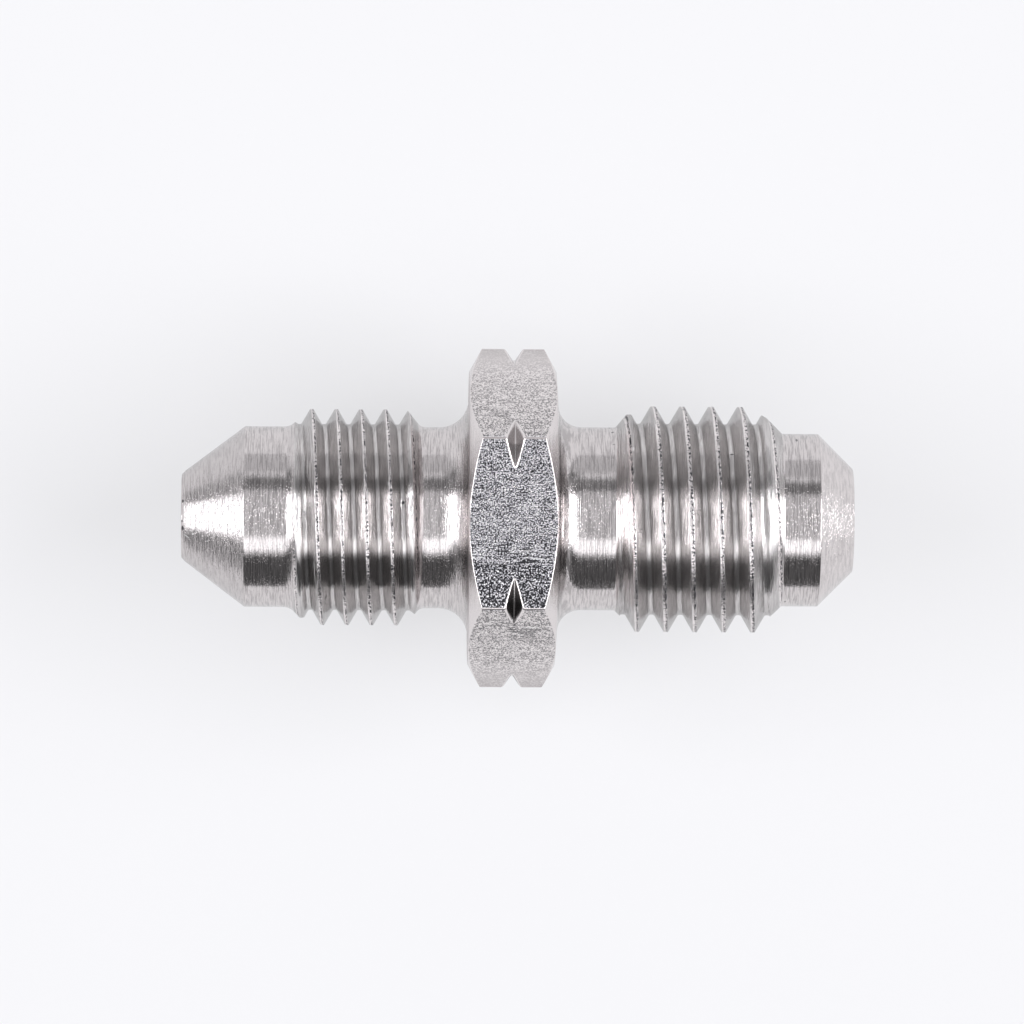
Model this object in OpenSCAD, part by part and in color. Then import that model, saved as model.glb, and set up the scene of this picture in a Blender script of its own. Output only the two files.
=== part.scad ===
// Line adapter with a flare end and a metric end, turned in one piece from
// hexagon bar. It lies on one flat of its hexagon: +X runs along the axis
// towards the metric end, +Z is up, and the origin is on the surface that it
// lies on, under the middle of its length. All sizes are in millimetres.

/* [Flare end] */
// Diameter of the flat ring at the tip
flare_tip_d = 3.62; // [3.56:0.02:4.4]
// Width of the broken edge round the tip
flare_tip_break = 0.16; // [0.02:0.02:0.3]
// Angle between the sealing cone and the axis
flare_cone_angle = 37; // [30:1:50]
// Diameter of the plain nose behind the cone
flare_nose_d = 7.8; // [6.6:0.02:7.84]
// Length of the plain nose
flare_nose_len = 1.95; // [0.8:0.05:5]

/* [Flare thread] */
// Outside diameter of the thread
flare_thread_d = 9.33; // [9.3:0.01:9.52]
// Distance from one crest to the next
flare_pitch = 1.0583; // [1.02:0.0001:1.25]
// Depth of the thread below its crests
flare_thread_depth = 0.65; // [0.5:0.01:0.7]
// Length of the threaded stretch with its slopes at both ends
flare_thread_len = 5.64; // [4:0.02:20]
// Angle about the axis, from +Y towards +Z, at which a crest begins
flare_thread_turn = 47; // [0:1:359]
// Angle of the slope from the nose up to the thread
flare_nose_slope = 45; // [40:1:60]
// Angle of the slope from the thread down to the neck
flare_neck_slope = 51; // [40:1:60]
// Diameter of the neck between thread and hexagon
flare_neck_d = 7.82; // [6.6:0.02:7.84]
// Length of the neck with its fillet
flare_neck_len = 2.04; // [1.8:0.02:8]
// Radius of the fillet between neck and hexagon
flare_fillet_r = 1.25; // [0.1:0.05:1.6]

/* [Hexagon] */
// Width across the flats
hex_flats = 12.7; // [12:0.05:16]
// Length of the flats along the axis
hex_len = 3.76; // [3:0.02:8]
// Angle of the chamfers at both ends of the hexagon
hex_chamfer_angle = 29; // [10:1:40]
// Angle by which the flare side face rises towards its neck
flare_face_angle = 1.5; // [0:0.5:8]
// Angle by which the metric side face rises towards its neck
metric_face_angle = 6; // [0:0.5:8]
// Width of the groove cut across the corners
groove_w = 0.78; // [0.3:0.02:1]
// Depth of that groove below the corners
groove_depth = 0.58; // [0.1:0.02:0.8]
// Shift of the groove from the middle of the hexagon
groove_shift = 0.04; // [-0.3:0.02:0.3]

/* [Metric thread] */
// Diameter of the neck between hexagon and thread
metric_neck_d = 7.9; // [6.6:0.02:8]
// Length of the neck with its fillet
metric_neck_len = 2.42; // [2:0.02:8]
// Radius of the fillet between hexagon and neck
metric_fillet_r = 1; // [0.1:0.05:1.6]
// Outside diameter of the thread
metric_thread_d = 9.75; // [9.7:0.01:10]
// Distance from one crest to the next
metric_pitch = 1.25; // [1.15:0.05:1.5]
// Depth of the thread below its crests
metric_thread_depth = 0.75; // [0.6:0.01:0.8]
// Length of the threaded stretch with its slopes at both ends
metric_thread_len = 7.21; // [5:0.01:25]
// Angle about the axis, from +Y towards +Z, at which a crest begins
metric_thread_turn = 252; // [0:1:359]
// Angle of the slope from the neck up to the thread
metric_neck_slope = 50; // [40:1:60]
// Angle of the slope from the thread down to the nose
metric_nose_slope = 45; // [40:1:60]

/* [Metric end] */
// Diameter of the plain nose past the thread
metric_nose_d = 7.46; // [6.2:0.02:8]
// Length of the plain nose
metric_nose_len = 1.56; // [0.5:0.01:6]
// Angle between the seating cone and the axis
metric_cone_angle = 45; // [30:1:60]
// Diameter of the flat end
metric_tip_d = 4.46; // [4:0.02:6]

/* [Bore] */
// Diameter of the hole through the whole length
bore_d = 3; // [2:0.05:3.1]
// Width of the broken edge at the flare mouth of the hole
flare_mouth_break = 0.12; // [0:0.02:0.18]
// Width of the broken edge at the metric mouth of the hole
metric_mouth_break = 0.2; // [0:0.02:0.3]

/* [Hidden] */

steel = "#b9b5b1";
round_steps = 96;
fillet_steps = 8;
turn_steps = 20;
// Reach of a cutting tool past the surface that it opens
over = 0.1;
hex_corners = 6;
// Half of the angle between a thread's two flanks
flank_angle = 30;
// Share of a thread's pitch that is the flat of its root
root_share = 0.16;

axis_z = hex_flats / 2;
corner_r = axis_z / cos(180 / hex_corners);

flare_tip_edge_r = flare_tip_d / 2 + flare_tip_break;
flare_cone_len = (flare_nose_d / 2 - flare_tip_edge_r) / tan(flare_cone_angle);
metric_cone_len = (metric_nose_d - metric_tip_d) / 2 / tan(metric_cone_angle);

flare_face_rise = (axis_z - flare_neck_d / 2 - flare_fillet_r) * tan(flare_face_angle);
metric_face_rise = (axis_z - metric_neck_d / 2 - metric_fillet_r) * tan(metric_face_angle);

// Stations along the axis, counted from the flare tip
flare_break_x = flare_tip_break;
flare_cone_x = flare_break_x + flare_cone_len;
flare_nose_x = flare_cone_x + flare_nose_len;
flare_thread_x = flare_nose_x + flare_thread_len;
flare_neck_x = flare_thread_x + flare_neck_len;
hex_start_x = flare_neck_x + flare_face_rise;
hex_end_x = hex_start_x + hex_len;
metric_face_x = hex_end_x + metric_face_rise;
metric_neck_x = metric_face_x + metric_neck_len;
metric_thread_x = metric_neck_x + metric_thread_len;
metric_nose_x = metric_thread_x + metric_nose_len;
total_len = metric_nose_x + metric_cone_len;
groove_x = (hex_start_x + hex_end_x) / 2 + groove_shift;

function run(rise, angle) = rise / tan(angle);

// Quarter round from the neck up to the side face; side is 1 where the face
// lies further along the axis than the neck, and -1 where it lies before it
function fillet(face_x, neck_r, r, side) = [
    for (i = [0 : fillet_steps])
        let (a = 90 * (side > 0 ? i : fillet_steps - i) / fillet_steps)
        [neck_r + r * (1 - cos(a)), face_x - side * r * (1 - sin(a))]
];

// Half section of everything that is turned, as radius and station
function turned_outline() = concat(
    [
        [0, 0],
        [flare_tip_d / 2, 0],
        [flare_tip_edge_r, flare_break_x],
        [flare_nose_d / 2, flare_cone_x],
        [flare_nose_d / 2, flare_nose_x],
        [flare_thread_d / 2,
            flare_nose_x + run((flare_thread_d - flare_nose_d) / 2, flare_nose_slope)],
        [flare_thread_d / 2,
            flare_thread_x - run((flare_thread_d - flare_neck_d) / 2, flare_neck_slope)],
        [flare_neck_d / 2, flare_thread_x]
    ],
    fillet(flare_neck_x, flare_neck_d / 2, flare_fillet_r, 1),
    [
        [axis_z, hex_start_x],
        [corner_r + over, hex_start_x + (corner_r + over - axis_z) * tan(hex_chamfer_angle)],
        [corner_r + over, hex_end_x - (corner_r + over - axis_z) * tan(hex_chamfer_angle)],
        [axis_z, hex_end_x]
    ],
    fillet(metric_face_x, metric_neck_d / 2, metric_fillet_r, -1),
    [
        [metric_neck_d / 2, metric_neck_x],
        [metric_thread_d / 2,
            metric_neck_x + run((metric_thread_d - metric_neck_d) / 2, metric_neck_slope)],
        [metric_thread_d / 2,
            metric_thread_x - run((metric_thread_d - metric_nose_d) / 2, metric_nose_slope)],
        [metric_nose_d / 2, metric_thread_x],
        [metric_nose_d / 2, metric_nose_x],
        [metric_tip_d / 2, total_len],
        [0, total_len]
    ]
);

module along_axis() {
    rotate([0, 90, 0])
        children();
}

// Bar stock: the hexagon, long enough to hold every turned form
module hexagon_bar() {
    along_axis()
        rotate([0, 0, 180 / hex_corners])
            cylinder(h = total_len, r = corner_r, $fn = hex_corners);
}

module turned_form() {
    along_axis()
        rotate_extrude($fn = round_steps)
            polygon(turned_outline());
}

// Groove that crosses only the corners, because it ends outside the flats
module corner_groove() {
    slope = groove_w / 2 / groove_depth;
    along_axis()
        rotate_extrude($fn = round_steps)
            polygon([
                [corner_r - groove_depth, groove_x],
                [corner_r + over, groove_x + slope * (groove_depth + over)],
                [corner_r + over, groove_x - slope * (groove_depth + over)]
            ]);
}

module bore() {
    along_axis()
        translate([0, 0, -over])
            cylinder(h = total_len + 2 * over, d = bore_d, $fn = round_steps);
    mouth_break(0, 1, flare_mouth_break);
    mouth_break(total_len, -1, metric_mouth_break);
}

// Broken edge of the hole's mouth at station x; inward is 1 or -1
module mouth_break(x, inward, width) {
    if (width > 0)
        along_axis()
            rotate_extrude($fn = round_steps)
                polygon([
                    [0, x - inward * over],
                    [bore_d / 2 + width + over, x - inward * over],
                    [bore_d / 2, x + inward * width],
                    [0, x + inward * width]
                ]);
}

// Right-hand helical groove of one thread between stations x_from and x_to. It
// starts half a pitch before them and ends half a pitch after them, in the air
// over the plain stretches there, because those are thinner than its root.
module thread_groove(thread_d, pitch, depth, turn, x_from, x_to) {
    root_half = pitch * root_share / 2;
    crest_half = root_half + depth * tan(flank_angle);
    mouth_half = crest_half + over * tan(flank_angle);
    root_r = thread_d / 2 - depth;
    mouth_r = thread_d / 2 + over;
    section = [
        [-mouth_half, mouth_r],
        [-root_half, root_r],
        [root_half, root_r],
        [mouth_half, mouth_r]
    ];
    corners = len(section);
    turns = (x_to - x_from) / pitch + 1;
    steps = ceil(turns * turn_steps);
    points = [
        for (i = [0 : steps])
            let (a = turn + 360 * i / turn_steps)
            for (s = section)
                [
                    x_from - pitch / 2 + pitch * i / turn_steps + s[0],
                    s[1] * cos(a),
                    s[1] * sin(a)
                ]
    ];
    sides = [
        for (i = [0 : steps - 1])
            for (j = [0 : corners - 1])
                let (
                    here = i * corners + j,
                    beside = i * corners + (j + 1) % corners,
                    ahead = here + corners,
                    across = beside + corners
                )
                for (face = [[here, ahead, beside], [beside, ahead, across]])
                    face
    ];
    start_face = [for (j = [0 : corners - 1]) j];
    end_face = [for (j = [corners - 1 : -1 : 0]) steps * corners + j];
    polyhedron(points, concat([start_face], sides, [end_face]));
}

module adapter_body() {
    color(steel)
        translate([-total_len / 2, 0, axis_z])
            difference() {
                intersection() {
                    hexagon_bar();
                    turned_form();
                }
                corner_groove();
                thread_groove(flare_thread_d, flare_pitch, flare_thread_depth,
                    flare_thread_turn, flare_nose_x, flare_thread_x);
                thread_groove(metric_thread_d, metric_pitch, metric_thread_depth,
                    metric_thread_turn, metric_neck_x, metric_thread_x);
                bore();
            }
}

adapter_body();
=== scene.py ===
"""Line adapter with a flare end and a metric end, turned from hexagon bar in one piece.

The adapter's surface is one mesh, made from its profile along the axis: every
column of the mesh is that profile at one angle about the axis, so both threads
run round it as true helices. +X runs towards the metric end and +Z is up.
"""

import math

import bpy
import numpy as np
from bpy.props import FloatProperty, FloatVectorProperty, PointerProperty
from bpy.types import Operator, Panel, PropertyGroup
from mathutils import Matrix, Vector


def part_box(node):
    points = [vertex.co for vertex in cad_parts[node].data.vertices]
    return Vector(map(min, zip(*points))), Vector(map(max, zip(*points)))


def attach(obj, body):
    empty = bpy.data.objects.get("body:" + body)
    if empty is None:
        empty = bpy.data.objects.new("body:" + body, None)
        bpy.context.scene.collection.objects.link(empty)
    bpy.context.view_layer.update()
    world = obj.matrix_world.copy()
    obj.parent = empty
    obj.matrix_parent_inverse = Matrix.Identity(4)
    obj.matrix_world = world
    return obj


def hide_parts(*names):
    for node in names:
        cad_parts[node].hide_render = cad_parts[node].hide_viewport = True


bl_info = {
    "name": "Line adapter",
    "version": (1, 0, 0),
    "blender": (4, 5, 0),
    "location": "3D View > Sidebar > Adapter",
    "description": "Makes a turned line adapter and the table that it lies on",
    "category": "Object",
}

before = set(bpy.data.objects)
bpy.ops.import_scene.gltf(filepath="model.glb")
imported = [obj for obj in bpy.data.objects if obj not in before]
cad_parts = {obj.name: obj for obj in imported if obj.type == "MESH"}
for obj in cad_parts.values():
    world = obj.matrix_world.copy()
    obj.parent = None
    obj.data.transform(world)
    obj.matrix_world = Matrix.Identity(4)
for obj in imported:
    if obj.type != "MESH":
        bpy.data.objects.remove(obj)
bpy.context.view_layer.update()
BODY_LOW, BODY_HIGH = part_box("adapter_body")
BODY_LENGTH = BODY_HIGH[0] - BODY_LOW[0]
ACROSS_FLATS = BODY_HIGH[2] - BODY_LOW[2]

MILLIMETRE = 0.001
# Half of the angle between a thread's two flanks
FLANK_ANGLE = math.radians(30)
# Angle about the axis that one side of the hexagon takes up, and half of it
SECTOR = math.radians(60)
HALF_SECTOR = SECTOR / 2
# Columns of the mesh in one such angle: beside each corner, and between the grooves
CORNER_COLUMNS, FLAT_COLUMNS = 8, 32
# Points of the mesh that are closer than this, in metres, become one
SAME_PLACE = 1e-8

# Small marks on the upper side: surface, place along and across the axis, half length
# and half width, all in millimetres, then turn in degrees and strength
NICKS = (
    ("thread", -4.95, 0.77, 0.08, 0.06, 70, 0.9),
    ("thread", -8.23, -3.34, 0.10, 0.03, 70, 0.7),
    ("thread", 9.16, 2.90, 0.07, 0.03, 0, 0.8),
    ("crest", -5.41, -1.93, 0.05, 0.05, 0, 1.0),
    ("crest", -5.40, -2.08, 0.05, 0.05, 0, 1.0),
    ("crest", -6.38, -3.58, 0.06, 0.04, 90, 1.0),
    ("crest", 4.79, 3.44, 0.14, 0.04, 90, 1.0),
    ("crest", 4.70, 4.35, 0.10, 0.05, 90, 0.9),
    ("turned", -14.41, 0.71, 0.06, 0.05, 90, 0.8),
    ("turned", -14.44, -0.15, 0.05, 0.04, 90, 0.8),
    ("turned", -14.42, -0.45, 0.10, 0.05, 90, 0.9),
    ("turned", 3.96, 3.94, 0.05, 0.03, 15, 0.8),
    ("turned", 4.07, 3.77, 0.06, 0.03, 15, 0.8),
    ("turned", 4.10, 3.28, 0.05, 0.02, 0, 0.6),
    ("turned", 12.00, 3.49, 0.05, 0.05, 0, 0.8),
    ("turned", 11.56, -3.47, 0.04, 0.04, 0, 0.7),
    ("flat", -0.74, -0.93, 0.39, 0.03, 9, 0.9),
    ("flat", -0.66, -1.19, 0.35, 0.03, -2, 0.9),
    ("flat", 0.33, -1.09, 0.34, 0.03, 2, 0.9),
    ("flat", -0.10, -1.29, 0.23, 0.03, 0, 0.8),
    ("flat", 0.33, -1.65, 0.47, 0.03, 0, 0.9),
    ("flat", -0.74, -1.76, 1.14, 0.02, 0, 0.7),
    ("flat", 0.58, -1.60, 0.18, 0.06, 0, 0.8),
    ("flat", 0.65, -1.87, 0.16, 0.03, -8, 0.9),
    ("flat", 1.42, 1.69, 0.04, 0.06, 0, 0.8),
    ("flat", -0.15, -4.33, 0.11, 0.04, 90, 0.9),
    ("flat", -0.26, -4.60, 0.24, 0.03, 0, 0.8),
    ("flat", -0.10, -4.70, 0.30, 0.03, 0, 0.8),
    ("flat", 0.42, -4.58, 0.36, 0.03, 0, 0.6),
    ("flat", 0.36, -4.72, 0.40, 0.09, 0, 0.35),
    ("flat", 0.48, -4.92, 0.30, 0.22, 0, 0.25),
    ("flat", -0.90, -4.18, 0.50, 0.02, 0, 0.4),
)
# Painted highlights: bright spots put in the colour where scratches, nicks and edges catch the
# light, in the same columns
PAINTED_HIGHLIGHTS = (
    ("thread", -5.60, 1.62, 0.09, 0.09, 0, 0.9),
    ("thread", -7.89, -1.54, 0.20, 0.02, 30, 0.5),
    ("thread", 8.48, -2.15, 0.07, 0.04, 60, 0.9),
    ("thread", 4.92, 3.13, 0.08, 0.05, 90, 0.9),
    ("thread", 4.93, 1.95, 0.20, 0.05, 90, 0.6),
    ("crest", 4.92, 3.13, 0.08, 0.05, 90, 0.9),
    ("cone", -14.27, -0.78, 0.22, 0.03, -38, 0.9),
    ("cone", -13.96, -0.70, 0.04, 0.04, 0, 0.8),
    ("cone", -13.35, -0.98, 0.04, 0.04, 0, 0.8),
    ("flat", 0.25, -1.16, 0.31, 0.02, 0, 0.8),
    ("flat", -0.30, -1.22, 0.12, 0.04, 0, 0.6),
    ("flat", 0.45, -4.50, 0.40, 0.02, 0, 0.6),
    ("groove", -0.26, -4.16, 0.12, 0.02, 90, 0.7),
    ("groove", -0.05, -4.16, 0.12, 0.02, 90, 0.7),
)

# Share of a chamfer's rise, or of the groove's half width, that its edge may wear away
WORN_SHARE = 0.3
# Fullness of the groove's ends as seen on the flats; at 1 their sides would be straight
LENS_FULLNESS = 0.72

# Edges of the light and the cards beside the adapter, in degrees from straight up, with
# the near side positive: each pair is where an edge starts and where it is complete
STRIP_START, STRIP_END, STRIP_SOFT = 25.0, 43.0, 8.0
NEAR_CARD_START = (43.0, 53.0)
NEAR_CARD_END = (95.0, 105.0)
FAR_CARD_START = (-53.5, -50.5)
FAR_CARD_END = (-38.5, -35.5)
# Bright rim past the far card, and the duller stretch below that: start, end, softness
RIM_START, RIM_END, RIM_SOFT = -62.0, -56.0, 3.0
DULL_START, DULL_END, DULL_SOFT = -100.0, RIM_START, 5.0
# How far the cards' edges bend at the two ends, in degrees
CARD_BEND = 40.0
# The same for the panels and their lamps beyond the two ends, as parts of a unit
# vector towards them: along the axis for the panels, and upwards for the lamps
FLARE_PANEL_START = (0.48, 0.6)
METRIC_PANEL_START = (0.34, 0.46)
LAMP_START = (0.42, 0.52)
LAMP_END = (0.64, 0.74)

# Order of the materials on the mesh
TURNED, THREADED, DRAWN, CHAMFERED, GROOVE, CREST, SHADED_CREST, CONE = range(8)


def length(name, description, millimetres):
    return FloatProperty(
        name=name,
        description=description,
        default=millimetres * MILLIMETRE,
        min=0.0,
        precision=5,
        unit="LENGTH",
    )


def coordinate(name, description, millimetres):
    """A distance that may also be negative."""
    return FloatProperty(
        name=name,
        description=description,
        default=millimetres * MILLIMETRE,
        precision=5,
        unit="LENGTH",
    )


def angle(name, description, degrees):
    return FloatProperty(
        name=name,
        description=description,
        default=math.radians(degrees),
        subtype="ANGLE",
    )


def colour(name, description, value):
    return FloatVectorProperty(
        name=name,
        description=description,
        default=value,
        min=0.0,
        soft_max=1.0,
        size=3,
        subtype="COLOR",
    )


def number(name, description, value):
    return FloatProperty(name=name, description=description, default=value, min=0.0)


class FlareEnd(PropertyGroup):
    tip_diameter: length("Tip diameter", "Across the flat ring at the tip", 3.62)
    tip_break: length("Tip edge", "Width of the broken edge round the tip", 0.16)
    cone_angle: angle("Cone angle", "Between the sealing cone and the axis", 37)
    nose_diameter: length("Nose diameter", "Across the plain nose", 7.8)
    nose_length: length("Nose length", "Plain stretch behind the cone", 1.95)
    nose_fillet: length("Nose fillet", "Radius where the nose meets the thread", 0.65)
    thread_diameter: length("Thread diameter", "Across the crests", 9.33)
    pitch: length("Pitch", "From one crest to the next", 1.0583)
    thread_depth: length("Thread depth", "From crest to root", 0.65)
    thread_length: length("Thread length", "Threaded stretch with both slopes", 5.64)
    thread_turn: angle("Thread turn", "Angle from +Y towards +Z of a crest's start", 47)
    nose_slope: angle("Nose slope", "Slope from the nose up to the thread", 45)
    neck_slope: angle("Neck slope", "Slope from the thread down to the neck", 51)
    neck_fillet: length("Neck fillet", "Radius where the thread meets the neck", 0.4)
    neck_diameter: length("Neck diameter", "Across the neck beside the hexagon", 7.82)
    neck_length: length("Neck length", "Neck with its fillet", 2.04)
    face_fillet: length("Face fillet", "Radius from the neck to the hexagon", 1.25)


class Hexagon(PropertyGroup):
    face_angle_flare: angle("Flare face angle", "Rise of the face on the flare side", 1.5)
    face_angle_metric: angle("Metric face angle", "Rise of the face on the metric side", 6)
    flat_length: length("Flat length", "Length of the flats along the axis", 3.76)
    chamfer_angle: angle("Chamfer angle", "Chamfers at both ends of the hexagon", 29)
    corner_round: length("Corner rounding", "Radius of the drawn bar's corners", 0.12)
    groove_width: length("Groove width", "Width of the groove across the corners", 0.78)
    groove_depth: length("Groove depth", "Depth of that groove at the corners", 0.58)
    groove_shift: length("Groove shift", "From the middle of the hexagon", 0.04)
    edge_round: length("Edge rounding", "Half width of the worn edges", 0.018)


class MetricEnd(PropertyGroup):
    face_fillet: length("Face fillet", "Radius from the hexagon to the neck", 1.0)
    neck_diameter: length("Neck diameter", "Across the neck beside the hexagon", 7.9)
    neck_length: length("Neck length", "Neck with its fillet", 2.42)
    neck_fillet: length("Neck fillet", "Radius where the neck meets the thread", 0.15)
    thread_diameter: length("Thread diameter", "Across the crests", 9.75)
    pitch: length("Pitch", "From one crest to the next", 1.25)
    thread_depth: length("Thread depth", "From crest to root", 0.75)
    thread_length: length("Thread length", "Threaded stretch with both slopes", 7.21)
    thread_turn: angle("Thread turn", "Angle from +Y towards +Z of a crest's start", 252)
    neck_slope: angle("Neck slope", "Slope from the neck up to the thread", 50)
    nose_slope: angle("Nose slope", "Slope from the thread down to the nose", 45)
    nose_fillet: length("Nose fillet", "Radius where the thread meets the nose", 0.12)
    nose_diameter: length("Nose diameter", "Across the plain nose", 7.46)
    nose_length: length("Nose length", "Plain stretch before the cone", 1.56)
    tip_diameter: length("Tip diameter", "Across the flat end", 4.46)


class Bore(PropertyGroup):
    diameter: length("Diameter", "Hole through the whole length", 3.0)
    flare_break: length("Flare mouth edge", "Broken edge at the flare mouth", 0.12)
    metric_break: length("Metric mouth edge", "Broken edge at the metric mouth", 0.2)


class Thread(PropertyGroup):
    root_share: number("Root share", "Share of the pitch that is the root", 0.16)
    crest_round: length("Crest rounding", "Radius of the edges of the crests", 0.03)


class Steel(PropertyGroup):
    turned: colour("Turned steel", "Colour of the turned surfaces", (0.64, 0.605, 0.6))
    drawn: colour("Drawn steel", "Colour of the hexagon's flats", (0.63, 0.605, 0.605))
    threaded: colour("Thread", "Colour of the thread's flanks", (0.64, 0.617, 0.61))
    pit: colour("Pits", "Colour of small pits and nicks", (0.05, 0.05, 0.055))
    # Colour of the painted highlights, bright spots that stand for light caught by scratches and
    # edges
    painted_highlight: colour("Glints", "Colour of freshly rubbed spots", (0.97, 0.96, 0.95))
    line_depth: length("Turning line depth", "Depth of the finest turning lines", 0.007)
    thread_line_depth: length("Thread line depth", "Depth of the lines on the flanks", 0.022)
    grain_depth: length("Grain depth", "Depth of the grain on the flats", 0.04)


class Studio(PropertyGroup):
    floor: colour("Floor", "Colour of the table", (0.93, 0.93, 0.945))
    floor_reach: length("Floor reach", "From the adapter to the table's far edges", 1500)
    floor_near: length("Floor near edge", "From the axis to the table's near edge", 60)
    camera_height: length("Camera height", "From the axis up to the camera", 430)
    camera_x: coordinate("Camera along", "Place of the camera along the axis", -6.95)
    camera_y: coordinate("Camera across", "Place of the camera across the axis", 15.0)
    aim_x: coordinate("Aim along", "Where the camera looks, along the axis", -0.22)
    aim_y: coordinate("Aim across", "Where the camera looks, across the axis", 0.27)
    roll: angle("Camera roll", "Turn of the camera about its own line of sight", 0.42)
    lens: number("Lens", "Focal length in millimetres", 350.0)
    floor_matt: number("Floor matt", "Share of the light that the table sends back", 0.27)
    floor_glow: number("Floor glow", "Share of the table's white that it gives off itself", 0.595)
    sky: number("Sky", "Strength of the light from around", 1.0)
    ceiling: number("Ceiling", "Brightness of the ceiling", 0.68)
    strip: number("Strip", "Brightness of the strip light", 1.75)
    near_card: number("Near card", "Share of the light that the near card sends back", 0.15)
    far_card: number("Far card", "Share of the light that the far card sends back", 0.34)
    panel: number("End panel", "Brightness of the end panels", 1.24)
    panel_lamp: number("End panel lamp", "Brightness of the end panels where their lamps are", 8.8)


class AdapterSettings(PropertyGroup):
    flare: PointerProperty(type=FlareEnd)
    hexagon: PointerProperty(type=Hexagon)
    metric: PointerProperty(type=MetricEnd)
    bore: PointerProperty(type=Bore)
    thread: PointerProperty(type=Thread)
    steel: PointerProperty(type=Steel)
    studio: PointerProperty(type=Studio)


def column_angles(hexagon, apothem):
    """Angles of the mesh's columns, closer together at the corners of the hexagon."""
    side = corner_side(hexagon, apothem)
    corner = apothem / math.cos(HALF_SECTOR)
    lens = HALF_SECTOR - math.acos(apothem / (corner - hexagon.groove_depth))
    sector = np.concatenate([
        [0.0, side / 2],
        np.linspace(side, lens, CORNER_COLUMNS, endpoint=False),
        np.linspace(lens, SECTOR - lens, FLAT_COLUMNS, endpoint=False),
        np.linspace(SECTOR - lens, SECTOR - side, CORNER_COLUMNS, endpoint=False),
        [SECTOR - side, SECTOR - side / 2],
    ])
    return np.concatenate([sector + i * SECTOR for i in range(6)] + [[6 * SECTOR]])


def corner_side(hexagon, apothem):
    """Angle from a corner of the hexagon to the end of its rounding."""
    centre = (apothem - hexagon.corner_round) / math.cos(HALF_SECTOR)
    return HALF_SECTOR - math.atan(centre * math.sin(HALF_SECTOR) / apothem)


def hexagon_reach(angles, hexagon, apothem):
    """Distance from the axis to the hexagon's surface at each angle."""
    from_corner = np.abs((angles + HALF_SECTOR) % SECTOR - HALF_SECTOR)
    flat = apothem / np.cos(HALF_SECTOR - from_corner)
    centre = (apothem - hexagon.corner_round) / math.cos(HALF_SECTOR)
    inside = hexagon.corner_round ** 2 - (centre * np.sin(from_corner)) ** 2
    arc = centre * np.cos(from_corner) + np.sqrt(np.maximum(inside, 0))
    return np.where(from_corner < corner_side(hexagon, apothem), arc, flat)


def rounded_path(corners, steps=4):
    """Points of a path whose corners are (x, radius from the axis, rounding)."""
    points = []
    for i, (x, r, rounding) in enumerate(corners):
        here = np.array([x, r])
        if rounding == 0 or i in (0, len(corners) - 1):
            points.append(here)
            continue
        back = np.array(corners[i - 1][:2]) - here
        ahead = np.array(corners[i + 1][:2]) - here
        back = back / np.linalg.norm(back)
        ahead = ahead / np.linalg.norm(ahead)
        half = math.acos(np.clip(back @ ahead, -1, 1)) / 2
        middle = (back + ahead) / np.linalg.norm(back + ahead)
        centre = here + middle * rounding / math.sin(half)
        start = here + back * rounding / math.tan(half) - centre
        end = here + ahead * rounding / math.tan(half) - centre
        sweep = math.pi - 2 * half
        for k in range(steps + 1):
            near = math.sin(sweep * (1 - k / steps)) / math.sin(sweep)
            far = math.sin(sweep * k / steps) / math.sin(sweep)
            points.append(centre + near * start + far * end)
    return np.array(points)


def filled(points, longest):
    """The same path with extra points, so that no step is longer than asked."""
    out = [points[0]]
    for before, after in zip(points[:-1], points[1:]):
        parts = max(1, math.ceil(np.linalg.norm(after - before) / longest - 1e-6))
        out += [before + (after - before) * k / parts for k in range(1, parts + 1)]
    return np.array(out)


def thread_section(pitch, depth, thread):
    """Half a pitch of the thread's section, as distance from the crest and drop."""
    root = pitch * thread.root_share / 2
    crest = pitch / 2 - root - depth * math.tan(FLANK_ANGLE)
    root_round = root / math.tan(FLANK_ANGLE)
    path = rounded_path([
        (0.0, 0.0, 0.0),
        (crest, 0.0, thread.crest_round),
        (pitch / 2 - root, depth, root_round * 0.6),
        (pitch / 2, depth, 0.0),
    ], steps=2)
    flank = (path[3] + path[4]) / 2
    return np.insert(path, 4, flank, axis=0)


class Profile:
    """Rows of the mesh from the flare mouth along the outside to the metric mouth."""

    def __init__(self, angles):
        self.angles = angles
        self.x, self.r, self.finish = [], [], []
        self.corner = None

    def add(self, x, r, finish):
        columns = np.ones_like(self.angles)
        self.x.append(x * columns)
        self.r.append(r * columns)
        self.finish.append(finish)

    def add_path(self, points, finish, cones=()):
        for x, r in points:
            on_cone = any(low <= x < high for low, high in cones)
            self.add(x, r, CONE if on_cone else finish)


class Stations:
    """Places along the axis, counted from the middle of the adapter."""

    def __init__(self, s):
        flare, hexagon, metric = s.flare, s.hexagon, s.metric
        self.apothem = ACROSS_FLATS / 2
        self.start = -BODY_LENGTH / 2
        self.tip_edge_r = flare.tip_diameter / 2 + flare.tip_break
        cone = (flare.nose_diameter / 2 - self.tip_edge_r) / math.tan(flare.cone_angle)
        self.flare_break = self.start + flare.tip_break
        self.flare_cone = self.flare_break + cone
        self.flare_nose = self.flare_cone + flare.nose_length
        self.flare_thread = self.flare_nose + flare.thread_length
        self.flare_neck = self.flare_thread + flare.neck_length
        rise = self.apothem - flare.neck_diameter / 2 - flare.face_fillet
        self.hex_start = self.flare_neck + rise * math.tan(hexagon.face_angle_flare)
        self.hex_end = self.hex_start + hexagon.flat_length
        self.groove = (self.hex_start + self.hex_end) / 2 + hexagon.groove_shift
        self.groove_floor = self.apothem / math.cos(HALF_SECTOR) - hexagon.groove_depth
        rise = self.apothem - metric.neck_diameter / 2 - metric.face_fillet
        self.metric_face = self.hex_end + rise * math.tan(hexagon.face_angle_metric)
        self.metric_neck = self.metric_face + metric.neck_length
        self.metric_thread = self.metric_neck + metric.thread_length
        self.metric_nose = self.metric_thread + metric.nose_length
        self.end = BODY_LENGTH / 2


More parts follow.
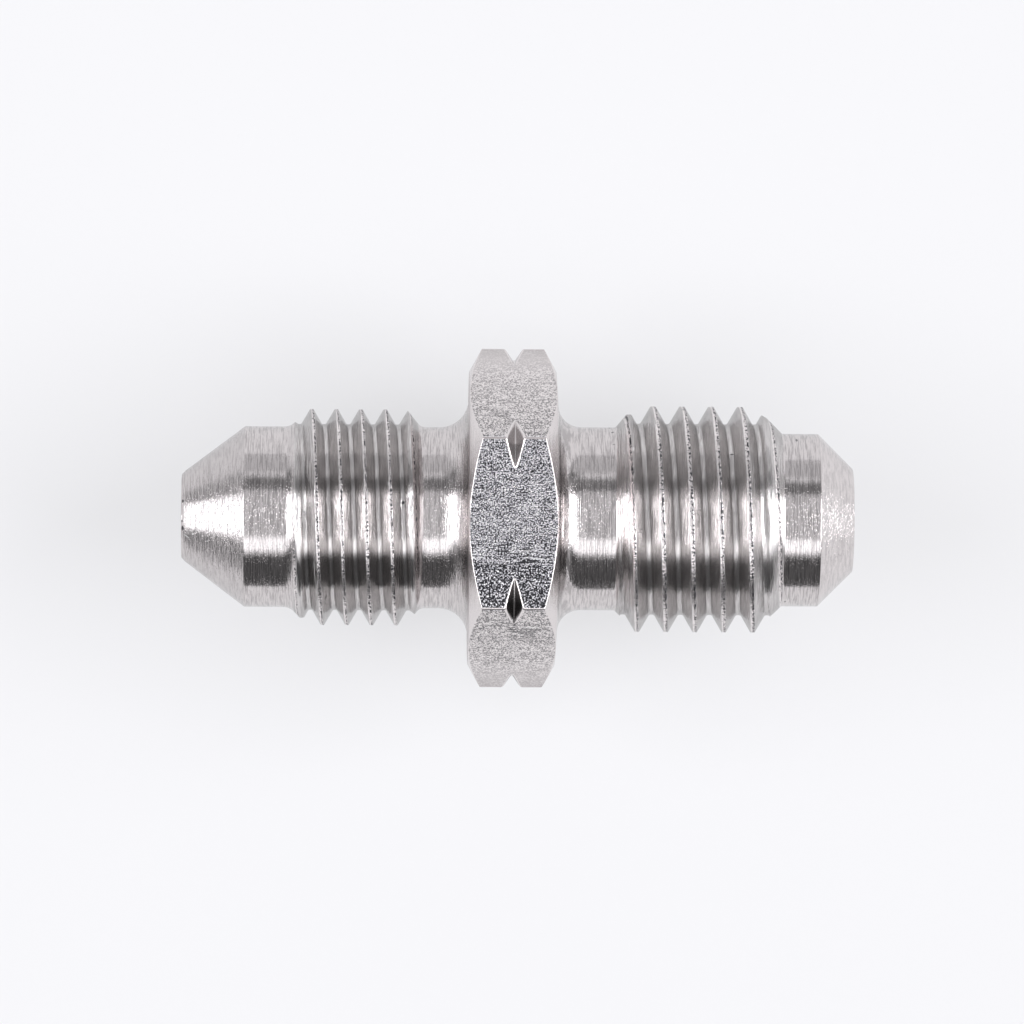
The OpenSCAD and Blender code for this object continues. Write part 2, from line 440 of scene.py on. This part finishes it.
class Slope:
    """Slope between a thread and the plain stretch beside it, rounded at its foot."""

    def __init__(self, x, r, steepness, rounding, side):
        self.x, self.r, self.side = x, r, side
        self.rise = math.tan(steepness)
        reach = rounding * math.tan(steepness / 2)
        self.top_x = x + side * reach * math.cos(steepness)
        self.top_r = r + reach * math.sin(steepness)

    def radius(self, x):
        return self.r + self.side * (x - self.x) * self.rise


def add_thread(profile, end, thread, first, last):
    """Thread between the slope that leads up to it and the one that leads down."""
    start = first.x
    stop = last.x
    section = thread_section(end.pitch, end.thread_depth, thread)
    offsets = np.concatenate([-section[:0:-1, 0], section[:-1, 0]])
    drops = np.concatenate([section[:0:-1, 1], section[:-1, 1]])
    # Rows up to just inside the crest's edge count as crest
    crest_edge = section[2, 0] * 0.999
    turns = math.ceil((stop - start) / end.pitch)
    crest = start + end.pitch * (profile.angles - end.thread_turn) / (2 * math.pi)
    for k in range(-1, turns + 2):
        for offset, drop in zip(offsets, drops):
            x = np.clip(crest + k * end.pitch + offset, first.top_x, last.top_x)
            outline = np.minimum(first.radius(x), last.radius(x))
            r = thread_radius(x, profile.angles, end, start, section)
            # The half of each crest towards the metric end takes a darker copy of the crest, with
            # more dark pits: painted shade on that side
            finish = THREADED
            if -crest_edge <= offset < 0:
                finish = CREST
            elif 0 <= offset < crest_edge:
                finish = SHADED_CREST
            profile.add(x, np.minimum(r, outline), finish)


def thread_radius(x, angles, end, start, section):
    """Radius of an endless thread at x, for each angle."""
    turn = (x - start) / end.pitch - (angles - end.thread_turn) / (2 * math.pi)
    from_crest = np.abs((turn + 0.5) % 1 - 0.5) * end.pitch
    return end.thread_diameter / 2 - np.interp(from_crest, section[:, 0], section[:, 1])


def add_hexagon(profile, s, at):
    """Chamfers, flats and the groove that crosses the corners."""
    hexagon = s.hexagon
    edge = hexagon.edge_round
    reach = hexagon_reach(profile.angles, hexagon, at.apothem)
    middle = (profile.angles[:-1] + profile.angles[1:]) / 2
    from_corner = np.abs((middle + HALF_SECTOR) % SECTOR - HALF_SECTOR)
    profile.corner = from_corner < corner_side(hexagon, at.apothem)
    lean = math.tan(hexagon.chamfer_angle)
    rise = (reach - at.apothem) * lean
    worn = np.minimum(edge, rise * WORN_SHARE)
    chamfer_x = np.maximum(rise - worn, edge * 0.4)
    chamfer_r = reach - np.maximum(worn / lean, edge * 0.1)
    slope = hexagon.groove_width / 2 / hexagon.groove_depth
    cut = np.maximum(reach - at.groove_floor, 0)
    share = cut / hexagon.groove_depth
    lip = hexagon.groove_width / 2 * share ** LENS_FULLNESS
    # The lips are worn most right at the corners
    lip_worn = np.minimum(edge * 1.5, lip * WORN_SHARE) * (1 + share ** 4)
    lip_drop = np.minimum(lip_worn / slope, cut * WORN_SHARE)
    flat_x = rise + np.maximum(worn * 1.5, edge)

    def half(face, side):
        start, stop = face + side * flat_x, at.groove - side * (lip + lip_worn * 1.5)
        return [
            (face, at.apothem - edge, CHAMFERED),
            (face + side * edge * 0.2, at.apothem - edge * 0.3, CHAMFERED),
            (face + side * chamfer_x * 0.4, at.apothem + (chamfer_r - at.apothem) * 0.4,
             CHAMFERED),
            (face + side * chamfer_x, chamfer_r, CHAMFERED),
            (face + side * (rise + worn * 0.1), reach - worn * 0.25, CHAMFERED),
            (start, reach, DRAWN),
            (start + (stop - start) * 0.33, reach, DRAWN),
            (start + (stop - start) * 0.67, reach, DRAWN),
            (stop, reach, CHAMFERED),
            (at.groove - side * (lip + lip_worn * 0.2), reach - lip_worn * 0.3, CHAMFERED),
            (at.groove - side * (lip - lip_worn), reach - lip_drop, GROOVE),
            (at.groove - side * lip * 0.35, reach - cut * 0.65, GROOVE),
            (at.groove - side * lip * 0.14, reach - cut * 0.86, CHAMFERED),
        ]

    for x, r, finish in half(at.hex_start, 1):
        profile.add(x, r, finish)
    profile.add(at.groove, reach - cut * 0.87, CHAMFERED)
    far_half = half(at.hex_end, -1)
    for place in range(len(far_half) - 1, -1, -1):
        x, r, _ = far_half[place]
        profile.add(x, r, far_half[max(place - 1, 0)][2])


def adapter_profile(s):
    """Whole profile of the adapter, as rows of points round the axis."""
    at = Stations(s)
    flare, metric, bore, thread = s.flare, s.metric, s.bore, s.thread
    profile = Profile(column_angles(s.hexagon, at.apothem))
    longest = 0.34 * MILLIMETRE
    fine = 0.03 * MILLIMETRE
    bore_r = bore.diameter / 2

    nose_r = flare.nose_diameter / 2
    neck_r = flare.neck_diameter / 2
    up = Slope(at.flare_nose, nose_r, flare.nose_slope, flare.nose_fillet, 1)
    down = Slope(at.flare_thread, neck_r, flare.neck_slope, flare.neck_fillet, -1)
    flare_path = rounded_path([
        (at.start + bore.flare_break, bore_r, 0),
        (at.start, bore_r + bore.flare_break, fine),
        (at.start, flare.tip_diameter / 2, fine),
        (at.flare_break, at.tip_edge_r, fine),
        (at.flare_cone, flare.nose_diameter / 2, fine * 2),
        (up.x, nose_r, flare.nose_fillet),
        (up.top_x, up.top_r, 0),
    ], steps=6)
    profile.add_path(filled(flare_path[:-1], longest), TURNED,
                     [(at.flare_break, at.flare_cone)])
    add_thread(profile, flare, thread, up, down)
    face_path = rounded_path([
        (down.top_x, down.top_r, 0),
        (down.x, neck_r, flare.neck_fillet),
        (at.flare_neck, neck_r, flare.face_fillet),
        (at.hex_start, at.apothem, 0),
    ], steps=8)
    profile.add_path(filled(face_path[1:-1], longest), TURNED)
    add_hexagon(profile, s, at)
    neck_r = metric.neck_diameter / 2
    nose_r = metric.nose_diameter / 2
    up = Slope(at.metric_neck, neck_r, metric.neck_slope, metric.neck_fillet, 1)
    down = Slope(at.metric_thread, nose_r, metric.nose_slope, metric.nose_fillet, -1)
    neck_path = rounded_path([
        (at.hex_end, at.apothem, 0),
        (at.metric_face, neck_r, metric.face_fillet),
        (up.x, neck_r, metric.neck_fillet),
        (up.top_x, up.top_r, 0),
    ], steps=8)
    profile.add_path(filled(neck_path[1:-1], longest), TURNED)
    add_thread(profile, metric, thread, up, down)
    metric_path = rounded_path([
        (down.top_x, down.top_r, 0),
        (down.x, nose_r, metric.nose_fillet),
        (at.metric_nose, nose_r, fine * 2),
        (at.end, metric.tip_diameter / 2, fine),
        (at.end, bore_r + bore.metric_break, fine),
        (at.end - bore.metric_break, bore_r, 0),
    ])
    profile.add_path(filled(metric_path[1:], longest), TURNED,
                     [(at.metric_nose, at.end - fine)])
    for share in (0.25, 0.5, 0.75):
        inside = at.end - bore.metric_break
        outside = at.start + bore.flare_break
        profile.add(inside + (outside - inside) * share, bore_r, TURNED)
    return profile


def closed_mesh(name, profile, axis_height):
    """Mesh of a profile that is turned about the axis, closed in both directions."""
    x, r = np.array(profile.x), np.array(profile.r)
    rows, columns = x.shape
    points = np.stack([
        x,
        r * np.cos(profile.angles),
        axis_height + r * np.sin(profile.angles),
    ], axis=-1).reshape(-1, 3)
    keys = np.round(points / SAME_PLACE).astype(np.int64)
    _, first, place = np.unique(keys, axis=0, return_index=True, return_inverse=True)
    place = place.reshape(rows, columns)
    points = points[first]
    following = np.roll(place, -1, axis=0)
    faces = np.stack([
        place[:, :-1], place[:, 1:], following[:, 1:], following[:, :-1],
    ], axis=-1).reshape(-1, 4)
    finish = np.array(profile.finish)[:, None] * np.ones(columns - 1, int)
    finish[(finish == DRAWN) & profile.corner] = CHAMFERED
    finish = finish.ravel()
    area = np.cross(points[faces[:, 2]] - points[faces[:, 0]],
                    points[faces[:, 3]] - points[faces[:, 1]])
    normals = np.zeros_like(points)
    for corner in range(4):
        np.add.at(normals, faces[:, corner], area)
    normals /= np.maximum(np.linalg.norm(normals, axis=1, keepdims=True), 1e-30)
    kept, kept_finish = [], []
    for face, kind in zip(faces.tolist(), finish.tolist()):
        loop = [v for i, v in enumerate(face) if v != face[i - 1]]
        if len(set(loop)) == len(loop) and len(loop) > 2:
            kept.append(loop)
            kept_finish.append(kind)
    mesh = bpy.data.meshes.new(name)
    mesh.from_pydata(points.tolist(), [], kept)
    mesh.polygons.foreach_set("material_index", kept_finish)
    mesh.polygons.foreach_set("use_smooth", [True] * len(kept))
    mesh.update()
    mesh.normals_split_custom_set_from_vertices(normals.tolist())
    return mesh


class Value:
    """A socket of a node tree that can be written in sums and products."""

    def __init__(self, graph, socket):
        self.graph = graph
        self.socket = socket

    def maths(self, operation, *others):
        values = {0: self}
        values.update({i + 1: other for i, other in enumerate(others)})
        return self.graph.node("Math", {"operation": operation}, values)

    def __add__(self, other):
        return self.maths("ADD", other)

    def __sub__(self, other):
        return self.maths("SUBTRACT", other)

    def __rsub__(self, other):
        return self.graph.node("Math", {"operation": "SUBTRACT"}, {0: other, 1: self})

    def __mul__(self, other):
        return self.maths("MULTIPLY", other)

    def __truediv__(self, other):
        return self.maths("DIVIDE", other)

    def __pow__(self, other):
        return self.maths("POWER", other)

    def __neg__(self):
        return self.maths("MULTIPLY", -1.0)

    def __abs__(self):
        return self.maths("ABSOLUTE")

    __radd__ = __add__
    __rmul__ = __mul__


class Graph:
    """Nodes of one material or of the world."""

    def __init__(self, tree):
        tree.nodes.clear()
        self.tree = tree

    def node(self, kind, settings=None, values=None, output=0):
        """A node of this kind, with its settings and the values or links of its sockets."""
        made = self.tree.nodes.new("ShaderNode" + kind)
        for name, setting in (settings or {}).items():
            setattr(made, name, setting)
        for name, value in (values or {}).items():
            if isinstance(value, Value):
                self.tree.links.new(value.socket, made.inputs[name])
            else:
                made.inputs[name].default_value = value
        return Value(self, made.outputs[output]) if made.outputs else None

    def parts(self, vector):
        made = self.tree.nodes.new("ShaderNodeSeparateXYZ")
        self.tree.links.new(vector.socket, made.inputs[0])
        return [Value(self, output) for output in made.outputs]

    def vector(self, x, y, z):
        return self.node("CombineXYZ", values={0: x, 1: y, 2: z})

    def step(self, value, low, high):
        """0 below low and 1 above high, smooth between them."""
        return self.node("MapRange", {"interpolation_type": "SMOOTHSTEP"},
                         {"Value": value, "From Min": low, "From Max": high})

    def band(self, value, low, high, soft):
        """1 between low and high, smooth over a width of soft at both ends."""
        rise = self.step(value, low - soft / 2, low + soft / 2)
        fall = self.step(value, high - soft / 2, high + soft / 2)
        return rise * (1 - fall)

    def noise(self, vector, scale, detail=2.0, roughness=0.5):
        return self.node("TexNoise", {"noise_dimensions": "3D"},
                         {"Vector": vector, "Scale": scale, "Detail": detail,
                          "Roughness": roughness})

    def mix_colour(self, factor, first, second):
        made = self.tree.nodes.new("ShaderNodeMix")
        made.data_type = "RGBA"
        for name, value in (("Factor", factor), ("A", first), ("B", second)):
            sockets = [i for i in made.inputs if i.name == name and i.enabled]
            if isinstance(value, Value):
                self.tree.links.new(value.socket, sockets[0])
            else:
                sockets[0].default_value = value
        return Value(self, [o for o in made.outputs if o.enabled][0])


def opaque(rgb):
    """The colour with full alpha, as a socket wants it."""
    return (rgb[0], rgb[1], rgb[2], 1.0)


def millimetres_from_axis(graph):
    """Place of a point in millimetres, with the axis of the adapter as its zero line."""
    place = graph.node("TexCoord", output="Object")
    x, y, z = graph.parts(place)
    return x * 1000.0, y * 1000.0, (z - ACROSS_FLATS / 2) * 1000.0


def radius(y, z):
    """Distance from the axis."""
    return (y * y + z * z) ** 0.5


def turning_lines(graph, x, y, z):
    """Height of the fine lines that the tool leaves round a turned surface."""
    along = x + radius(y, z)
    coarse = graph.noise(graph.vector(along, y * 0.02, z * 0.02), 7.0, 2.0, 0.6)
    fine = graph.noise(graph.vector(along, y * 0.05, z * 0.05), 24.0, 1.0, 0.6)
    dots = graph.noise(graph.vector(x, y * 0.4, z * 0.4), 28.0, 1.0, 0.6)
    return coarse * 1.2 + fine * 1.5 + graph.step(dots, 0.55, 0.75) * 0.5


def steel_shader(graph, colour_value, roughness, height, depth, edge=0.92):
    """Bare steel; edge is how much of its glare is left where it is seen edge-on."""
    normal = graph.node("Bump", values={
        "Strength": 1.0, "Distance": depth, "Height": height})
    shader = graph.node("BsdfPrincipled", values={
        "Base Color": colour_value,
        "Metallic": 1.0,
        "Specular Tint": (edge, edge, edge, 1.0),
        "Roughness": roughness,
        "Normal": normal,
    })
    graph.node("OutputMaterial", values={"Surface": shader})


def new_material(name):
    material = bpy.data.materials.new(name)
    material.use_nodes = True
    return material, Graph(material.node_tree)


def shades(graph, colour_value, factor, dark, light):
    """The colour times dark where factor is 0 and times light where it is 1."""
    return graph.mix_colour(factor, opaque(Vector(colour_value) * dark),
                            opaque(Vector(colour_value) * light))


def with_marks(graph, base, name, x, y, z, steel):
    """The colour with the nicks, and the painted highlights, that one material has on the upper
    side.
    """
    place = graph.vector(x, y, z)
    upper = graph.step(z, -0.5, 0.0)
    for marks, tone in ((NICKS, steel.pit), (PAINTED_HIGHLIGHTS, steel.painted_highlight)):
        for surface, mark_x, mark_y, half_length, half_width, turn, share in marks:
            if surface != name:
                continue
            oval = graph.node("Mapping", {"vector_type": "TEXTURE"}, {
                "Vector": place, "Location": (mark_x, mark_y, 0.0),
                "Rotation": (0.0, 0.0, math.radians(turn)),
                "Scale": (half_length, half_width, 100.0)})
            reach = graph.node("VectorMath", {"operation": "LENGTH"}, {0: oval}, output=1)
            inside = (1 - graph.step(reach, 0.7, 1.2)) * upper * share
            base = graph.mix_colour(inside, base, opaque(tone))
    return base


def turned_steel(steel):
    material, graph = new_material("turned_steel")
    x, y, z = millimetres_from_axis(graph)
    along = x + radius(y, z)
    stripes = graph.noise(graph.vector(along, y * 0.05, z * 0.05), 18.0, 3.0, 0.7)
    base = shades(graph, steel.turned, graph.step(stripes, 0.4, 0.56), 0.72, 1.08)
    base = with_marks(graph, base, "turned", x, y, z, steel)
    faced = graph.step(radius(y, z), 4.5, 5.2)
    height = turning_lines(graph, x, y, z) * (faced * 1.5 + 1.0)
    steel_shader(graph, base, faced * 0.25 + 0.12, height, steel.line_depth)
    return material


def cone_steel(steel):
    """The cones are cut with a faster feed, which leaves deeper lines. Their colour holds painted
    light: darker on the flare cone, lighter on the metric cone.
    """
    material, graph = new_material("cone_steel")
    x, y, z = millimetres_from_axis(graph)
    stripes = graph.noise(graph.vector(x, y * 0.1, z * 0.1), 14.0, 3.0, 0.7)
    # Painted light: the metric cone is coloured lighter than the flare cone, over the stripes of
    # the turning
    tone = graph.step(stripes, 0.35, 0.6) * 0.5 + graph.step(x, -1.0, 1.0) * 0.45
    base = shades(graph, steel.turned, tone, 0.75, 1.17)
    base = with_marks(graph, base, "cone", x, y, z, steel)
    steel_shader(graph, base, 0.12, turning_lines(graph, x, y, z), steel.line_depth * 1.3)
    return material


def threaded_steel(steel):
    """Flanks and roots, and the slopes at both ends of the threads."""
    material, graph = new_material("threaded_steel")
    x, y, z = millimetres_from_axis(graph)
    lines = graph.noise(graph.vector(x, y * 0.02, z * 0.02), 38.0, 1.0, 0.7)
    wide = graph.noise(graph.vector(x, y * 0.1, z * 0.1), 9.0, 2.0, 0.6)
    metric = graph.step(x, -1.0, 1.0)
    run_in = graph.band(x, 4.15, 4.85, 0.1)
    stripes = graph.noise(graph.vector(x, y * 0.01, z * 0.01), 8.0, 3.0, 0.7)
    tone = graph.step(wide, 0.3, 0.7) * (1 - run_in) + graph.step(stripes, 0.4, 0.6) * run_in
    base = shades(graph, steel.threaded, tone, 0.88, 1.08)
    base = with_marks(graph, base, "thread", x, y, z, steel)
    height = lines * (run_in + 1.0) + wide * (metric * 0.3 + 0.2)
    steel_shader(graph, base, metric * 0.07 + 0.13, height, steel.thread_line_depth, edge=0.72)
    return material


def crest_material(steel, name, clean):
    """Tops of the threads, where the skin of the bar was only just cut. Their colour, the turned
    steel's made 1.35 times as light, is a painted highlight along the crests; clean sets how much
    of it is dark pits.
    """
    material, graph = new_material(name)
    x, y, z = millimetres_from_axis(graph)
    pits = graph.noise(graph.vector(x * 1.4, y, z), 11.0, 2.0, 0.6)
    dark = graph.step(pits, clean, clean + 0.05)
    base = graph.mix_colour(dark, opaque(Vector(steel.turned) * 1.35), opaque(steel.pit))
    base = with_marks(graph, base, "crest", x, y, z, steel)
    steel_shader(graph, base, dark * 0.3 + 0.2, pits, steel.grain_depth * 0.7)
    return material


def crest_steel(steel):
    return crest_material(steel, "crest_steel", 0.6)


# Painted shade: the crest material with more of it dark pits, for the half of each crest towards
# the metric end
def shaded_crest_steel(steel):
    return crest_material(steel, "shaded_crest_steel", 0.47)


def drawn_steel(steel):
    """Skin of the drawn bar: a sharp grain, dragged into streaks in one place."""
    material, graph = new_material("drawn_steel")
    x, y, z = millimetres_from_axis(graph)
    top = graph.step(z, 6.2, 6.3)
    coarse = (1 - graph.step(y, -1.85, -1.75)) * top
    dragged = graph.band(y, -1.75, -1.2, 0.1) * top
    grain = graph.noise(graph.vector(x * 0.9, y, z), 17.0, 1.0, 0.5)
    coarse_grain = graph.noise(graph.vector(x, y, z), 14.0, 1.0, 0.5)
    streaks = graph.noise(graph.vector(x * 0.12, y, z), 11.0, 2.0, 0.6)
    patches = graph.noise(graph.vector(x * 0.6, y, z), 4.0, 4.0, 0.75)
    grain = grain * (1 - coarse) + (coarse_grain - 0.05) * coarse
    spots = grain + (streaks - 0.5) * (dragged * 0.35 + 0.15) + (patches - 0.5) * 0.4
    inner = graph.step(abs(z), 0.4, 2.6) * 0.52 + graph.step(abs(z), 2.5, 6.2) * 0.18
    shine = graph.band(y, -0.9, 1.7, 0.8) * top
    below = (1 - graph.step(y, -5.0, -3.0)) * 0.12
    depth = top * 0.3 + inner + coarse * 0.1 + below + 0.07
    pits = (1 - graph.step(spots, 0.48, 0.51)) * depth * (1 - shine * 0.12)
    # Painted light: the top flat and the side flats get their own copies of the bar's colour, the
    # top one a little darker and bluer. Towards the axis height the side flats are darker still.
    side = Vector((steel.drawn[0], steel.drawn[1] * 0.985, steel.drawn[2] * 0.975)) * 1.28
    skin = Vector((steel.drawn[0], steel.drawn[1] * 1.02, steel.drawn[2] * 1.08)) * 1.18
    outward = graph.step(abs(z), -0.4, 2.4)
    light = graph.mix_colour(outward, opaque(side * 0.68), opaque(side))
    light = graph.mix_colour(top, light, opaque(skin))
    # Painted highlight: the lightest grain speckles take the bright highlight colour, most on the
    # top flat and in its shine band
    painted_sparkle = graph.step(spots, 0.56, 0.64) * (top * 0.6 + coarse * 0.2 + shine * 0.2 + 0.2)
    light = graph.mix_colour(painted_sparkle, light, opaque(steel.painted_highlight))
    base = graph.mix_colour(pits, light, opaque(steel.pit))
    base = with_marks(graph, base, "flat", x, y, z, steel)
    height = spots * (coarse * 0.2 + inner * 0.7 + 0.1)
    steel_shader(graph, base, 0.13, height, steel.grain_depth)
    return material


def chamfered_steel(steel):
    material, graph = new_material("chamfered_steel")
    x, y, z = millimetres_from_axis(graph)
    lines = turning_lines(graph, x, y, z)
    # Painted highlight: the chamfers, worn edges, lips and rounded corners get the turned colour
    # made 1.2 times as light
    base = opaque(Vector(steel.turned) * 1.2)
    steel_shader(graph, base, 0.18, lines, steel.line_depth * 0.8)
    return material


def groove_steel(steel):
    material, graph = new_material("groove_steel")
    x, y, z = millimetres_from_axis(graph)
    grain = graph.noise(graph.vector(x, y, z), 7.0, 2.0, 0.6)
    # Painted shade: the groove is coloured darker than the turned steel, far darker on the near
    # side towards -Y than on the far side
    base = shades(graph, steel.turned, graph.step(y, -1.0, 1.0), 0.35, 0.95)
    base = with_marks(graph, base, "groove", x, y, z, steel)
    steel_shader(graph, base, 0.2, grain, steel.line_depth)
    return material


class ADAPTER_OT_make_body(Operator):
    """Make the adapter's whole surface, with its threads, in place of the plain solid"""

    bl_idname = "adapter.make_body"
    bl_label = "Make the adapter"

    def execute(self, context):
        s = context.scene.adapter
        profile = adapter_profile(s)
        mesh = closed_mesh("adapter_steel", profile, ACROSS_FLATS / 2)
        body = bpy.data.objects.new("adapter_steel", mesh)
        context.scene.collection.objects.link(body)
        for make in (turned_steel, threaded_steel, drawn_steel, chamfered_steel, groove_steel,
                     crest_steel, shaded_crest_steel, cone_steel):
            mesh.materials.append(make(s.steel))
        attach(body, "root")
        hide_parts("adapter_body")
        return {"FINISHED"}


def make_floor(scene, studio):
    """White table, lit a little from within, so that shadows on it stay soft."""
    far = studio.floor_reach
    near = -studio.floor_near
    gap = 0.00002
    mesh = bpy.data.meshes.new("table")
    mesh.from_pydata(
        [(-far, near, -gap), (far, near, -gap), (far, far, -gap), (-far, far, -gap)],
        [], [(0, 1, 2, 3)])
    floor = bpy.data.objects.new("table", mesh)
    scene.collection.objects.link(floor)
    material, graph = new_material("table_white")
    white = Vector(studio.floor)
    shader = graph.node("BsdfPrincipled", values={
        "Base Color": opaque(white * studio.floor_matt), "Roughness": 0.6,
        "Specular IOR Level": 0.0, "Emission Color": opaque(white),
        "Emission Strength": studio.floor_glow})
    graph.node("OutputMaterial", values={"Surface": shader})
    mesh.materials.append(material)


def make_sky(scene, studio):
    """Ceiling, strip light and cards beside the adapter, and a panel beyond each end."""
    world = bpy.data.worlds.new("studio")
    world.use_nodes = True
    scene.world = world
    graph = Graph(world.node_tree)
    dx, dy, dz = graph.parts(graph.node("TexCoord", output="Generated"))
    turn = graph.node("Math", {"operation": "ARCTAN2"}, {0: -dy, 1: dz}) * (180 / math.pi)
    spread = dx * dx * CARD_BEND
    near = graph.step(turn, *NEAR_CARD_START)
    near = near * (1 - graph.step(turn - spread, *NEAR_CARD_END))
    far = graph.step(turn + spread * 1.4, *FAR_CARD_START)
    far = far * (1 - graph.step(turn, *FAR_CARD_END))
    ring = (1 - near * (1 - studio.near_card)) * (1 - far * (1 - studio.far_card))
    ring = ring * studio.ceiling
    ring = ring + graph.band(turn, RIM_START, RIM_END, RIM_SOFT) * 0.18
    ring = ring * (1 - graph.band(turn, DULL_START, DULL_END, DULL_SOFT) * 0.1)
    # Around the two ends the room is darker, most of all low down and at the flare end
    ends = graph.step(abs(dx), 0.7, 0.95)
    side = graph.step(dx, -0.1, 0.1)
    corner = (side * 0.32 + 0.38) * (graph.step(dz, 0.0, 0.3) * 0.5 + 0.5)
    ring = ring * (1 - ends) + ends * corner
    strip = graph.band(turn, STRIP_START, STRIP_END, STRIP_SOFT)
    ring = ring * (1 - strip) + strip * studio.strip
    # The panels are wider above the adapter than below it
    width = graph.step(dz, -0.1, 0.3) * 0.16 + 0.21
    panel = graph.step(dx, *METRIC_PANEL_START) + graph.step(-dx, *FLARE_PANEL_START)
    panel = panel * (1 - graph.step(abs(dy - 0.03) / width, 0.94, 1.06))
    lamp = graph.step(dz + side * 0.06, *LAMP_START) * (1 - graph.step(dz, *LAMP_END))
    glow = lamp * (studio.panel_lamp - studio.panel) + studio.panel
    glow = glow * (side * 0.2 + 1.0)
    light = ring * (1 - panel) + panel * glow
    # Past the table the camera sees plain white
    white = graph.node("LightPath", output="Is Camera Ray")
    light = light * (1 - white) + white * 0.95
    tint = graph.vector(light, light, light * 1.03)
    sky = graph.node("Background", values={"Color": tint, "Strength": studio.sky})
    graph.node("OutputWorld", values={"Surface": sky})


def make_camera(scene, studio):
    data = bpy.data.cameras.new("camera")
    data.lens = studio.lens
    data.sensor_width = 36.0
    camera = bpy.data.objects.new("camera", data)
    axis_height = ACROSS_FLATS / 2
    place = Vector((studio.camera_x, studio.camera_y, axis_height + studio.camera_height))
    aim = Vector((studio.aim_x, studio.aim_y, axis_height))
    back = (place - aim).normalized()
    right = Vector((0, 1, 0)).cross(back).normalized()
    up = back.cross(right)
    turned_right = right * math.cos(studio.roll) + up * math.sin(studio.roll)
    turned_up = up * math.cos(studio.roll) - right * math.sin(studio.roll)
    matrix = Matrix((turned_right, turned_up, back)).transposed().to_4x4()
    matrix.translation = place
    camera.matrix_world = matrix
    scene.collection.objects.link(camera)
    scene.camera = camera


class ADAPTER_OT_set_stage(Operator):
    """Set the table, the light around the adapter and the camera"""

    bl_idname = "adapter.set_stage"
    bl_label = "Set the stage"

    def execute(self, context):
        studio = context.scene.adapter.studio
        make_floor(context.scene, studio)
        make_sky(context.scene, studio)
        make_camera(context.scene, studio)
        context.scene.view_settings.view_transform = "Standard"
        return {"FINISHED"}


class ADAPTER_PT_panel(Panel):
    """Buttons that make the adapter and its stage"""

    bl_idname = "ADAPTER_PT_panel"
    bl_label = "Line adapter"
    bl_space_type = "VIEW_3D"
    bl_region_type = "UI"
    bl_category = "Adapter"

    def draw(self, context):
        self.layout.operator(ADAPTER_OT_make_body.bl_idname)
        self.layout.operator(ADAPTER_OT_set_stage.bl_idname)


CLASSES = (
    FlareEnd,
    Hexagon,
    MetricEnd,
    Bore,
    Thread,
    Steel,
    Studio,
    AdapterSettings,
    ADAPTER_OT_make_body,
    ADAPTER_OT_set_stage,
    ADAPTER_PT_panel,
)


def register():
    for each in CLASSES:
        bpy.utils.register_class(each)
    bpy.types.Scene.adapter = PointerProperty(type=AdapterSettings)


def unregister():
    del bpy.types.Scene.adapter
    for each in reversed(CLASSES):
        bpy.utils.unregister_class(each)


def main():
    register()
    bpy.ops.adapter.make_body()
    bpy.ops.adapter.set_stage()


if __name__ == "__main__":
    main()
